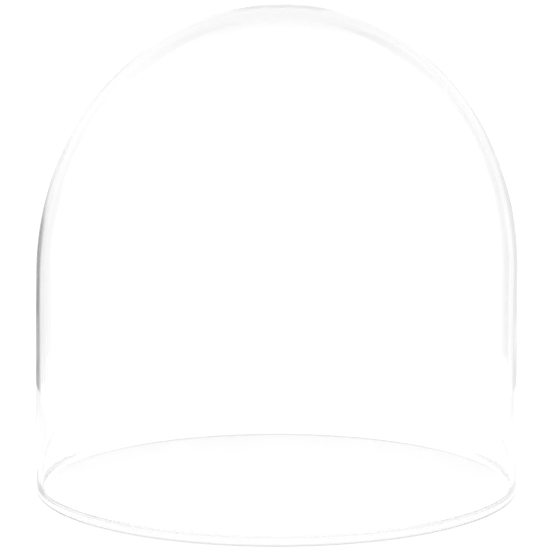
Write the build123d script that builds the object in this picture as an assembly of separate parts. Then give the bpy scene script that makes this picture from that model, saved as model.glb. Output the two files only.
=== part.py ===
from build123d import *
from math import cos, radians, sin
import os

# Glass cloche: a bell of clear blown glass with an open mouth and a fire-polished rim.
# The bell is one piece of glass, gathered, blown, cracked off and flame-polished at the
# mouth, so it is a single solid of revolution. Units are millimetres, +Z is up, and the
# origin is the centre of the circle on which the rim stands.

# ---- driving dimensions ----
OUTER_DIAMETER = 290.0   # across the straight lower wall
WALL_HEIGHT = 132.0      # height at which the straight wall turns into the crown
CROWN_RISE = 161.0       # from there up to the top, slightly more than half the diameter
WALL_THICKNESS = 2.6     # in the straight wall
CROWN_THICKNESS = 2.2    # at the top, where the bubble of glass was stretched most
CROWN_FULLNESS = 2.035   # exponent of the crown's outline, 2 being a plain ellipse
CROWN_SPANS = 6          # stretches of the crown's curve between the wall and the axis

# ---- the rim, thickened inwards where the flame melted the cut edge ----
BEAD_THICKNESS = 4.0
BEAD_HEIGHT = 6.6        # where the swelling of the rim has run out into the wall
MOUTH_HEIGHT = 3.4       # up to here the inside of the bead is straight
FOOT_OUTER_ROUND = 1.2   # rounding under the outside of the bead
FOOT_INNER_ROUND = 1.4   # rounding under the inside of the bead

# ---- sizes that follow from them ----
OUTER_RADIUS = OUTER_DIAMETER / 2
INNER_RADIUS = OUTER_RADIUS - WALL_THICKNESS
MOUTH_RADIUS = OUTER_RADIUS - BEAD_THICKNESS
TOTAL_HEIGHT = WALL_HEIGHT + CROWN_RISE
INNER_CROWN_RISE = CROWN_RISE - CROWN_THICKNESS


def bell_section():
    """Half section of the glass, from the rim to the axis, in the XZ plane."""
    with BuildSketch(Plane.XZ) as section:
        with BuildLine():
            # outside: straight wall, then the crown up to the axis
            Line((OUTER_RADIUS, 0), (OUTER_RADIUS, WALL_HEIGHT))
            crown_curve(OUTER_RADIUS, CROWN_RISE)
            # through the glass at the top
            Line((0, TOTAL_HEIGHT), (0, TOTAL_HEIGHT - CROWN_THICKNESS))
            # inside: crown, straight wall, swelling of the bead, mouth
            crown_curve(INNER_RADIUS, INNER_CROWN_RISE)
            Line((INNER_RADIUS, WALL_HEIGHT), (INNER_RADIUS, BEAD_HEIGHT))
            Spline((INNER_RADIUS, BEAD_HEIGHT), (MOUTH_RADIUS, MOUTH_HEIGHT), tangents=[(0, -1), (0, -1)])
            Polyline((MOUTH_RADIUS, MOUTH_HEIGHT), (MOUTH_RADIUS, 0), (OUTER_RADIUS, 0))
        make_face()
        round_corner(section, OUTER_RADIUS, 0, FOOT_OUTER_ROUND)
        round_corner(section, MOUTH_RADIUS, 0, FOOT_INNER_ROUND)
    return section.sketch


def crown_curve(radius, rise):
    """The crown from the top of the straight wall to the axis, as one smooth spline."""
    points = []
    for step in range(CROWN_SPANS + 1):
        angle = radians(90 * step / CROWN_SPANS)
        across = max(cos(angle), 0) ** (2 / CROWN_FULLNESS) if step < CROWN_SPANS else 0
        up = sin(angle) ** (2 / CROWN_FULLNESS)
        points.append((radius * across, WALL_HEIGHT + rise * up))
    return Spline(*points, tangents=[(0, 1), (-1, 0)])


def round_corner(section, radius, height, rounding):
    """Round the corner of the section that lies at this radius and height."""
    corner = section.vertices().sort_by_distance(Vector(radius, height))[0]
    fillet(corner, rounding)


def glass_bell():
    """The whole bell, turned about its axis."""
    return revolve(bell_section(), axis=Axis.Z)


os.makedirs("parts", exist_ok=True)
bell = glass_bell()
bell.label = "glass_bell"
export_step(bell, "parts/glass_bell.step")
print("glass_bell: volume", round(bell.volume / 1000, 1), "cm3, size", bell.bounding_box().size)
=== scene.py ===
import math

import bmesh
import bpy
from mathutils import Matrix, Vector


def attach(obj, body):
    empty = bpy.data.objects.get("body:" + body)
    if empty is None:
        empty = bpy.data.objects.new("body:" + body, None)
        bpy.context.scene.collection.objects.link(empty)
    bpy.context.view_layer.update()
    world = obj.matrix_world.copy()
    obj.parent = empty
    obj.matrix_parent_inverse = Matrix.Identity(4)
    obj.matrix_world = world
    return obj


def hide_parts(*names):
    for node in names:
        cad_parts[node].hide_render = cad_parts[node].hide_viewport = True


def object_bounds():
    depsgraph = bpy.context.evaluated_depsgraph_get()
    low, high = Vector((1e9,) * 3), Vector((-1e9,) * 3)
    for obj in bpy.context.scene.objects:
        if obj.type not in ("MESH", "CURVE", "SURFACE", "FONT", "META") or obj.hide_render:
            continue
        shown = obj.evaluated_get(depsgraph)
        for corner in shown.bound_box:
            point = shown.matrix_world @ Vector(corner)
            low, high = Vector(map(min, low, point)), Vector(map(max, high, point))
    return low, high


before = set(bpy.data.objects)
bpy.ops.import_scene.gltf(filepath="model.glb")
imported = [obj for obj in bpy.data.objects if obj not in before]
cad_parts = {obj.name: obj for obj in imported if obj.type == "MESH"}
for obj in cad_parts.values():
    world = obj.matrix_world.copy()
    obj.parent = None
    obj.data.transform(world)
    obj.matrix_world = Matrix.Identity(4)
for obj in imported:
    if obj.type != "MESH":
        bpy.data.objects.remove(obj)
cad_low, cad_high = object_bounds()

# ---- the bell's sizes in metres, the outer two from the frame ----
OUTER_RADIUS = cad_high.x
TOTAL_HEIGHT = cad_high.z
WALL_HEIGHT = 0.132       # where the straight wall turns into the crown
WALL_THICKNESS = 0.0026
CROWN_THICKNESS = 0.0022
CROWN_FULLNESS = 2.035    # exponent of the crown's outline, 2 being a plain ellipse
BEAD_THICKNESS = 0.0040
BEAD_HEIGHT = 0.0066      # where the swelling of the rim has run out into the wall
MOUTH_HEIGHT = 0.0034     # up to here the inside of the bead is straight
FOOT_OUTER_ROUND = 0.0012
FOOT_INNER_ROUND = 0.0014

SEGMENTS = 360            # steps round the bell
CROWN_STEPS = 90
WALL_STEPS = 40
BEAD_STEPS = 14
ROUND_STEPS = 8
ON_AXIS = 1e-6            # a ring of less than this radius is a single point on the axis

# ---- how far the blown glass strays from a true turned shape ----
LEAN_LINEAR = -0.0026     # metres of sideways drift at the top, growing with the height
LEAN_SQUARED = 0.0059     # the same, growing with the height squared
TAPER = 0.0007            # how much smaller the radius is at the top of the wall than at the rim
DRIFT_ROOM = 0.00019      # taken off the radius all the way up, so the drift stays in the CAD's box

# ---- the camera ----
LENS = 253.75             # millimetres
SENSOR_WIDTH = 36
CAMERA_DISTANCE = 16 * OUTER_RADIUS
CAMERA_PITCH = math.radians(10.16)   # looking down on the centre of the bell
CAMERA_TILT = math.radians(0.351)    # a little further down, which lifts the bell in the picture
CAMERA_TURN = math.radians(0.026)    # a little to the left, which moves the bell to the right

# ---- the surface of hand-blown glass ----
GUIDED_BOUNCES = 256      # how often light may turn inside the glass
GLASS_IOR = 1.5
WAVE_SCALE = 16.0         # soft waves some 60 mm long
WAVE_DETAIL = 1.0
WAVE_DEPTH = 0.00012
DRAG_SCALE = 5.0          # long upright drag lines from the blowing, closer together round the bell
DRAG_DETAIL = 2.0
DRAG_STRETCH = 14.0
DRAG_DEPTH = 0.00003
HAZE_SCALE = 9.0
HAZE_DETAIL = 3.0
HAZE_RANGE = (0.45, 0.75)  # values of the pattern between which the haze sets in
HAZE_MOST = 0.018         # roughness where the haze is thickest

# ---- light levels of the studio, 1 being white in the picture ----
LEFT_WALL = 0.95
RIGHT_WALL = 1.12
FRONT_SHARE = 0.80        # the side of the room where the camera stands is dimmer
LEFT_FLAG = 0.28          # dark board low down, to the left of the white sweep
LOW_LEFT_FLAG = 0.45      # paler towards its foot
RIGHT_FLAG = 0.80         # pale board to the right of the sweep
BACK_LIGHT = 1.00         # above the sweep, fading to the ceiling
CEILING = 0.46            # right above and behind
LEFT_CEILING = 0.60       # to the left and right, where the big lamps hang
RIGHT_CEILING = 0.77
SPOT = 0.82               # share of the light left in the small gap above the sweep
MAIN_SWEEP = 1.15
OTHER_SWEEP = 0.93

# ---- where these lie, in degrees to the right of straight ahead and in degrees up ----
# four numbers: sets in, full, begins to fade, gone; two numbers: where a change starts and ends
LEFT_FLAG_ACROSS = (-29.5, -18.5, -12.5, -10.0)
LEFT_FLAG_TOP = (-7.5, -4.5)
LEFT_FLAG_FOOT = (-12.3, -11.0)
RIGHT_FLAG_ACROSS = (9.0, 11.0, 19.0, 33.0)
WALL_TOP = (-4.5, 0.0)
BACK_TO_CEILING = (4.0, 40.0)
SPOT_ACROSS = (-4.5, -2.0, 3.0, 5.0)
SPOT_UP = (1.0, 4.0, 10.0, 15.0)
SWEEP_TOP = (1.0, 3.0)
MAIN_SWEEP_EDGE = (6.5, 8.5)
OTHER_SWEEP_EDGE = (4.0, 14.0)
SWEEP_PITCH = 45.0        # from one white sweep to the next, all round the room

# ---- the same for the broad changes, as sideways or forward shares of the direction ----
LEFT_TO_RIGHT = (-0.3, 0.3)
FRONT_TO_BACK = (-0.2, 0.3)
MIDDLE_TO_SIDE = (0.15, 0.50)

# ---- the table top ----
TABLE_RADIUS = 0.36
TABLE_THICKNESS = 0.004
TABLE_GAP = 0.00005       # keeps the rim and the table from sharing a face
TABLE_VERTICES = 256
TABLE_GLOW = 0.76
TABLE_SIDE_GLOW = 0.54    # far left and right, which the main view meets almost only in reflections
TABLE_DIMMING = (0.17, 0.26)
TABLE_GREY = 0.60
TABLE_ROUGHNESS = 0.9


def arc(centre, radius, start, end, steps):
    """Points of an arc in the section plane, both ends included, angles in degrees."""
    points = []
    for step in range(steps + 1):
        angle = math.radians(start + (end - start) * step / steps)
        points.append((centre[0] + radius * math.cos(angle), centre[1] + radius * math.sin(angle)))
    return points


def line(start, end, steps):
    """Points between two points of the section, both ends left out."""
    return [(start[0] + (end[0] - start[0]) * step / steps,
             start[1] + (end[1] - start[1]) * step / steps) for step in range(1, steps)]


def crown(radius, rise, start, end):
    """Points of the crown between two angles above the wall's top, both ends included."""
    points = []
    for step in range(CROWN_STEPS + 1):
        angle = math.radians(start + (end - start) * step / CROWN_STEPS)
        across = max(math.cos(angle), 0.0) ** (2 / CROWN_FULLNESS)
        up = max(math.sin(angle), 0.0) ** (2 / CROWN_FULLNESS)
        points.append((radius * across, WALL_HEIGHT + rise * up))
    return points


def swelling(start, end, steps):
    """Points of a soft double bend that leaves both ends upright, both left out."""
    points = []
    for step in range(1, steps):
        share = step / steps
        bend = share * share * (3 - 2 * share)
        points.append((start[0] + (end[0] - start[0]) * bend, start[1] + (end[1] - start[1]) * share))
    return points


def bell_section():
    """Points of the half section, from the top of the outside round the rim to the top inside."""
    inner_radius = OUTER_RADIUS - WALL_THICKNESS
    mouth_radius = OUTER_RADIUS - BEAD_THICKNESS
    rise = TOTAL_HEIGHT - WALL_HEIGHT
    points = crown(OUTER_RADIUS, rise, 90, 0)
    points += line((OUTER_RADIUS, WALL_HEIGHT), (OUTER_RADIUS, FOOT_OUTER_ROUND), WALL_STEPS)
    points += arc((OUTER_RADIUS - FOOT_OUTER_ROUND, FOOT_OUTER_ROUND),
                  FOOT_OUTER_ROUND, 0, -90, ROUND_STEPS)
    points += arc((mouth_radius + FOOT_INNER_ROUND, FOOT_INNER_ROUND),
                  FOOT_INNER_ROUND, -90, -180, ROUND_STEPS)
    points.append((mouth_radius, MOUTH_HEIGHT))
    points += swelling((mouth_radius, MOUTH_HEIGHT), (inner_radius, BEAD_HEIGHT), BEAD_STEPS)
    points.append((inner_radius, BEAD_HEIGHT))
    points += line((inner_radius, BEAD_HEIGHT), (inner_radius, WALL_HEIGHT), WALL_STEPS)
    points += crown(inner_radius, rise - CROWN_THICKNESS, 0, 90)
    return points


def ring(mesh, radius, height):
    """One ring of the bell's corners, or a single one where the section meets the axis."""
    share = height / TOTAL_HEIGHT
    drift = LEAN_LINEAR * share + LEAN_SQUARED * share * share
    narrowing = DRIFT_ROOM + TAPER * min(height / WALL_HEIGHT, 1.0) ** 2
    radius *= 1 - narrowing / OUTER_RADIUS
    if radius < ON_AXIS:
        return [mesh.verts.new((drift, 0, height))]
    corners = []
    for step in range(SEGMENTS):
        turn = 2 * math.pi * step / SEGMENTS
        corners.append(mesh.verts.new((drift + radius * math.cos(turn), radius * math.sin(turn), height)))
    return corners


def join(mesh, upper, lower):
    """The faces between two rings, triangles where one of them is a single point."""
    for step in range(SEGMENTS):
        after = (step + 1) % SEGMENTS
        if len(upper) == 1:
            mesh.faces.new((upper[0], lower[step], lower[after]))
        elif len(lower) == 1:
            mesh.faces.new((upper[after], upper[step], lower[0]))
        else:
            mesh.faces.new((upper[after], upper[step], lower[step], lower[after]))


def glass_bell():
    """The bell as one smooth closed mesh."""
    mesh = bmesh.new()
    rings = [ring(mesh, radius, height) for radius, height in bell_section()]
    for upper, lower in zip(rings, rings[1:]):
        join(mesh, upper, lower)
    for face in mesh.faces:
        face.smooth = True
    bmesh.ops.recalc_face_normals(mesh, faces=mesh.faces)
    data = bpy.data.meshes.new("glass_bell_blown")
    mesh.to_mesh(data)
    mesh.free()
    piece = bpy.data.objects.new("glass_bell_blown", data)
    bpy.context.collection.objects.link(piece)
    return piece


class NodeMaths:
    """Builds arithmetic in a node tree, one node a call."""

    def __init__(self, tree):
        self.tree = tree

    def do(self, operation, *values):
        node = self.tree.nodes.new("ShaderNodeMath")
        node.operation = operation
        for socket, value in zip(node.inputs, values):
            if isinstance(value, (int, float)):
                socket.default_value = value
            else:
                self.tree.links.new(value, socket)
        return node.outputs[0]

    def split(self, coordinates):
        """The x, y and z of one kind of texture coordinates."""
        source = self.tree.nodes.new("ShaderNodeTexCoord")
        node = self.tree.nodes.new("ShaderNodeSeparateXYZ")
        self.tree.links.new(source.outputs[coordinates], node.inputs[0])
        return node.outputs

    def ramp(self, value, low, high, start, end):
        """Smooth change from start, where value is low, to end, where it is high."""
        node = self.tree.nodes.new("ShaderNodeMapRange")
        node.interpolation_type = "SMOOTHSTEP"
        self.tree.links.new(value, node.inputs["Value"])
        for name, number in (("From Min", low), ("From Max", high), ("To Min", start), ("To Max", end)):
            if isinstance(number, (int, float)):
                node.inputs[name].default_value = number
            else:
                self.tree.links.new(number, node.inputs[name])
        return node.outputs["Result"]

    def bump(self, value, rise, full, fading, gone):
        """0 outside rise to gone, 1 from full to fading."""
        return self.do("MULTIPLY", self.ramp(value, rise, full, 0.0, 1.0),
                       self.ramp(value, fading, gone, 1.0, 0.0))

    def mix(self, share, without, with_it):
        """The first value where share is 0, the second where it is 1."""
        return self.do("ADD", self.do("MULTIPLY", without, self.do("SUBTRACT", 1.0, share)),
                       self.do("MULTIPLY", share, with_it))


def clear_glass():
    """Clear blown glass: soft waves, faint upright drag lines and a thin uneven haze."""
    material = bpy.data.materials.new("clear_glass")
    material.use_nodes = True
    tree = material.node_tree
    maths = NodeMaths(tree)
    shader = tree.nodes["Principled BSDF"]
    shader.inputs["Base Color"].default_value = (1, 1, 1, 1)
    shader.inputs["IOR"].default_value = GLASS_IOR
    shader.inputs["Transmission Weight"].default_value = 1.0
    coordinates = tree.nodes.new("ShaderNodeTexCoord")

    def noise(scale, detail, stretch=1.0):
        """Cloudy pattern from 0 to 1, drawn out upwards by the stretch."""
        place = tree.nodes.new("ShaderNodeMapping")
        place.inputs["Scale"].default_value = (stretch, stretch, 1.0)
        tree.links.new(coordinates.outputs["Object"], place.inputs["Vector"])
        node = tree.nodes.new("ShaderNodeTexNoise")
        node.inputs["Scale"].default_value = scale
        node.inputs["Detail"].default_value = detail
        tree.links.new(place.outputs["Vector"], node.inputs["Vector"])
        return node.outputs["Fac"]

    waves = maths.do("MULTIPLY", noise(WAVE_SCALE, WAVE_DETAIL), WAVE_DEPTH)
    drag = maths.do("MULTIPLY", noise(DRAG_SCALE, DRAG_DETAIL, DRAG_STRETCH), DRAG_DEPTH)
    bump = tree.nodes.new("ShaderNodeBump")
    bump.inputs["Distance"].default_value = 1.0
    tree.links.new(maths.do("ADD", waves, drag), bump.inputs["Height"])
    tree.links.new(bump.outputs["Normal"], shader.inputs["Normal"])
    haze = maths.ramp(noise(HAZE_SCALE, HAZE_DETAIL), *HAZE_RANGE, 0.0, HAZE_MOST)
    tree.links.new(haze, shader.inputs["Roughness"])
    return material


def walls_light(maths, x, y, azimuth, elevation):
    """The walls below eye level, with a dark board on the left and a pale one on the right."""
    sides = maths.ramp(x, *LEFT_TO_RIGHT, LEFT_WALL, RIGHT_WALL)
    walls = maths.do("MULTIPLY", sides, maths.ramp(y, *FRONT_TO_BACK, FRONT_SHARE, 1.0))
    left_flag = maths.do("MULTIPLY", maths.bump(azimuth, *LEFT_FLAG_ACROSS),
                         maths.ramp(elevation, *LEFT_FLAG_TOP, 1.0, 0.0))
    walls = maths.mix(left_flag, walls, maths.ramp(elevation, *LEFT_FLAG_FOOT, LOW_LEFT_FLAG, LEFT_FLAG))
    return maths.mix(maths.bump(azimuth, *RIGHT_FLAG_ACROSS), walls, RIGHT_FLAG)


def upper_light(maths, x, azimuth, elevation):
    """The back light above eye level, fading to the ceiling."""
    side_ceiling = maths.ramp(x, *LEFT_TO_RIGHT, LEFT_CEILING, RIGHT_CEILING)
    ceiling = maths.ramp(maths.do("ABSOLUTE", x), *MIDDLE_TO_SIDE, CEILING, side_ceiling)
    back = maths.ramp(elevation, *BACK_TO_CEILING, BACK_LIGHT, ceiling)
    spot = maths.do("MULTIPLY", maths.bump(elevation, *SPOT_UP), maths.bump(azimuth, *SPOT_ACROSS))
    return maths.do("MULTIPLY", back, maths.mix(spot, 1.0, SPOT))


def with_sweeps(maths, room, azimuth, elevation):
    """The room with its white sweeps in front of it, the brightest one behind the bell."""
    below = maths.ramp(elevation, *SWEEP_TOP, 1.0, 0.0)
    beside = maths.do("ABSOLUTE", maths.do("WRAP", azimuth, SWEEP_PITCH / 2, -SWEEP_PITCH / 2))
    others = maths.do("MULTIPLY", maths.ramp(beside, *OTHER_SWEEP_EDGE, 1.0, 0.0), below)
    ahead = maths.ramp(maths.do("ABSOLUTE", azimuth), *MAIN_SWEEP_EDGE, 1.0, 0.0)
    main = maths.do("MULTIPLY", ahead, below)
    return maths.mix(main, maths.mix(others, room, OTHER_SWEEP), MAIN_SWEEP)


def studio():
    """Soft light all round, with white sweeps behind the bell and dimmer walls between them."""
    world = bpy.data.worlds.new("studio")
    bpy.context.scene.world = world
    world.use_nodes = True
    tree = world.node_tree
    maths = NodeMaths(tree)
    x, y, z = maths.split("Generated")
    azimuth = maths.do("MULTIPLY", maths.do("ARCTAN2", x, y), 180 / math.pi)
    elevation = maths.do("MULTIPLY", maths.do("ARCSINE", z), 180 / math.pi)
    walls = walls_light(maths, x, y, azimuth, elevation)
    above = upper_light(maths, x, azimuth, elevation)
    room = maths.mix(maths.ramp(elevation, *WALL_TOP, 0.0, 1.0), walls, above)
    background = tree.nodes["Background"]
    tree.links.new(with_sweeps(maths, room, azimuth, elevation), background.inputs["Strength"])
    background.inputs["Color"].default_value = (1, 1, 1, 1)


def floor():
    """The pale round table top that the bell stands on, glowing a little so that it stays white."""
    height = cad_low.z - TABLE_THICKNESS / 2 - TABLE_GAP
    bpy.ops.mesh.primitive_cylinder_add(vertices=TABLE_VERTICES, radius=TABLE_RADIUS,
                                        depth=TABLE_THICKNESS, location=(0, 0, height))
    table = bpy.context.object
    table.name = "table_top"
    material = bpy.data.materials.new("white_table")
    material.use_nodes = True
    tree = material.node_tree
    maths = NodeMaths(tree)
    shader = tree.nodes["Principled BSDF"]
    shader.inputs["Base Color"].default_value = (TABLE_GREY, TABLE_GREY, TABLE_GREY, 1)
    shader.inputs["Roughness"].default_value = TABLE_ROUGHNESS
    shader.inputs["Specular IOR Level"].default_value = 0.0
    shader.inputs["Emission Color"].default_value = (1, 1, 1, 1)
    sideways = maths.do("ABSOLUTE", maths.split("Object")[0])
    glow = maths.ramp(sideways, *TABLE_DIMMING, TABLE_GLOW, TABLE_SIDE_GLOW)
    tree.links.new(glow, shader.inputs["Emission Strength"])
    table.data.materials.append(material)


def camera():
    """A long lens that looks down a little on the bell."""
    data = bpy.data.cameras.new("camera")
    data.sensor_width = SENSOR_WIDTH
    data.lens = LENS
    target = Vector((0, 0, OUTER_RADIUS))
    obj = bpy.data.objects.new("camera", data)
    bpy.context.collection.objects.link(obj)
    obj.location = target + CAMERA_DISTANCE * Vector((0, -math.cos(CAMERA_PITCH), math.sin(CAMERA_PITCH)))
    obj.rotation_euler = (math.pi / 2 - CAMERA_PITCH - CAMERA_TILT, 0, CAMERA_TURN)
    bpy.context.scene.camera = obj


def follow_guided_light():
    """Let light that is caught inside the wall run on until it leaves through the rim again."""
    paths = bpy.context.scene.cycles
    paths.max_bounces = GUIDED_BOUNCES
    paths.transmission_bounces = GUIDED_BOUNCES
    paths.glossy_bounces = GUIDED_BOUNCES


bell = glass_bell()
bell.data.materials.append(clear_glass())
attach(bell, "root")
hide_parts("glass_bell")
studio()
floor()
camera()
bpy.context.scene.view_settings.view_transform = "Standard"
follow_guided_light()
